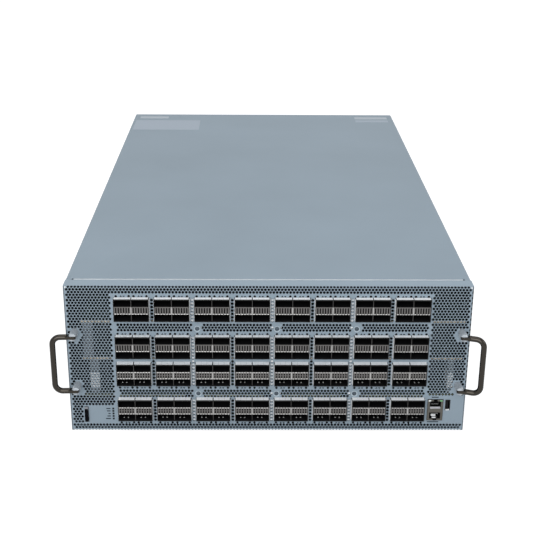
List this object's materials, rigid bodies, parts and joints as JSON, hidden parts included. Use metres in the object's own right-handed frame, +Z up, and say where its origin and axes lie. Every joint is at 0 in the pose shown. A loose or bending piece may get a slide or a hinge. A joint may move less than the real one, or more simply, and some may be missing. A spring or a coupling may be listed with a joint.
{
  "type": "ethernet switch",
  "caption": "Rack-mount ethernet switch with rows of stacked pluggable port cages, swivelling bail handles, pull-out fan modules and power supplies.",
  "frame": {"origin": "middle of the base, on the underside of the floor", "axes": "+X to the right seen from the front, +Y to the rear, +Z up"},
  "size_m": [0.469, 0.8292, 0.1745],
  "materials": {
    "chassis_paint": "satin",
    "plated_sheet": "satin",
    "cage_plate": "bright",
    "port_black": "matte",
    "board_green": "satin",
    "handle_metal": "polished",
    "post_metal": "bright",
    "tag_black": "matte",
    "lamp_lens": "gloss",
    "jack_shield": "bright",
    "contact_block": "satin",
    "service_shell": "satin",
    "chip_dark": "satin",
    "sink_alloy": "satin",
    "fan_black": "matte",
    "supply_metal": "satin",
    "supply_black": "matte",
    "latch_red": "satin"
  },
  "bodies": {
    "chassis": {"base_tray": "chassis_paint", "front_bezel": "chassis_paint", "top_cover": "chassis_paint", "rear_frame": "plated_sheet", "bay_shelf": "plated_sheet", "fan_partitions": "plated_sheet", "supply_guides": "plated_sheet", "board_spacers": "plated_sheet", "side_brackets": "plated_sheet", "cage_inserts": "cage_plate", "port_receptacles": "port_black", "handle_posts": "post_metal", "handle_pins": "post_metal", "tag_sleeve": "tag_black", "status_lamps": "lamp_lens", "network_jack": "jack_shield", "jack_contacts": "contact_block", "service_port": "service_shell", "service_board": "board_green", "switch_chip": "chip_dark", "heat_sink": "sink_alloy", "fan_board": "board_green", "power_board": "board_green", "upper_board": "board_green", "main_board": "board_green", "lower_board": "board_green", "panel_post_1": "plated_sheet", "panel_post_2": "plated_sheet", "panel_post_3": "plated_sheet", "port_cages_row_1": "cage_plate", "port_cages_row_2": "cage_plate", "port_cages_row_3": "cage_plate", "port_cages_row_4": "cage_plate"},
    "left_bail": {"left_bail": "handle_metal"},
    "right_bail": {"right_bail": "handle_metal"},
    "info_tag": {"info_tag": "tag_black"},
    "fan_1": {"fan_1_carrier": "plated_sheet", "fan_1_frame": "fan_black"},
    "fan_1_rotor": {"fan_1_rotor": "fan_black"},
    "fan_2": {"fan_2_carrier": "plated_sheet", "fan_2_frame": "fan_black"},
    "fan_2_rotor": {"fan_2_rotor": "fan_black"},
    "fan_3": {"fan_3_carrier": "plated_sheet", "fan_3_frame": "fan_black"},
    "fan_3_rotor": {"fan_3_rotor": "fan_black"},
    "supply_1": {"supply_1_case": "supply_metal", "supply_1_face": "supply_black"},
    "supply_1_latch": {"supply_1_latch": "latch_red"},
    "supply_2": {"supply_2_case": "supply_metal", "supply_2_face": "supply_black"},
    "supply_2_latch": {"supply_2_latch": "latch_red"},
    "supply_3": {"supply_3_case": "supply_metal", "supply_3_face": "supply_black"},
    "supply_3_latch": {"supply_3_latch": "latch_red"},
    "supply_4": {"supply_4_case": "supply_metal", "supply_4_face": "supply_black"},
    "supply_4_latch": {"supply_4_latch": "latch_red"}
  },
  "joints": [
    {"name": "left_bail_swing", "type": "hinge", "parent": "chassis", "child": "left_bail", "pos_m": [-0.2098, -0.4024, 0.0899], "axis": [0, 0, 1], "range_deg": [-2.5, 177.5]},
    {"name": "right_bail_swing", "type": "hinge", "parent": "chassis", "child": "right_bail", "pos_m": [0.2098, -0.4024, 0.0899], "axis": [0, 0, -1], "range_deg": [-19.8, 160.2]},
    {"name": "info_tag_slide", "type": "slide", "parent": "chassis", "child": "info_tag", "axis": [0, -1, 0], "range_m": [0, 0.06]},
    {"name": "fan_1_slide", "type": "slide", "parent": "chassis", "child": "fan_1", "axis": [0, 1, 0], "range_m": [0, 0.105]},
    {"name": "fan_1_spin", "type": "hinge", "parent": "fan_1", "child": "fan_1_rotor", "pos_m": [-0.144, 0.367, 0.1076], "axis": [0, 1, 0], "continuous": true},
    {"name": "fan_2_slide", "type": "slide", "parent": "chassis", "child": "fan_2", "axis": [0, 1, 0], "range_m": [0, 0.105]},
    {"name": "fan_2_spin", "type": "hinge", "parent": "fan_2", "child": "fan_2_rotor", "pos_m": [0, 0.367, 0.1076], "axis": [0, 1, 0], "continuous": true},
    {"name": "fan_3_slide", "type": "slide", "parent": "chassis", "child": "fan_3", "axis": [0, 1, 0], "range_m": [0, 0.105]},
    {"name": "fan_3_spin", "type": "hinge", "parent": "fan_3", "child": "fan_3_rotor", "pos_m": [0.144, 0.367, 0.1076], "axis": [0, 1, 0], "continuous": true},
    {"name": "supply_1_slide", "type": "slide", "parent": "chassis", "child": "supply_1", "axis": [0, 1, 0], "range_m": [0, 0.18]},
    {"name": "supply_1_latch_press", "type": "slide", "parent": "supply_1", "child": "supply_1_latch", "axis": [-1, 0, 0], "range_m": [0, 0.003], "stiffness_N_per_m": 1500, "springref_m": -0.001},
    {"name": "supply_2_slide", "type": "slide", "parent": "chassis", "child": "supply_2", "axis": [0, 1, 0], "range_m": [0, 0.18]},
    {"name": "supply_2_latch_press", "type": "slide", "parent": "supply_2", "child": "supply_2_latch", "axis": [-1, 0, 0], "range_m": [0, 0.003], "stiffness_N_per_m": 1500, "springref_m": -0.001},
    {"name": "supply_3_slide", "type": "slide", "parent": "chassis", "child": "supply_3", "axis": [0, 1, 0], "range_m": [0, 0.18]},
    {"name": "supply_3_latch_press", "type": "slide", "parent": "supply_3", "child": "supply_3_latch", "axis": [-1, 0, 0], "range_m": [0, 0.003], "stiffness_N_per_m": 1500, "springref_m": -0.001},
    {"name": "supply_4_slide", "type": "slide", "parent": "chassis", "child": "supply_4", "axis": [0, 1, 0], "range_m": [0, 0.18]},
    {"name": "supply_4_latch_press", "type": "slide", "parent": "supply_4", "child": "supply_4_latch", "axis": [-1, 0, 0], "range_m": [0, 0.003], "stiffness_N_per_m": 1500, "springref_m": -0.001}
  ]
}
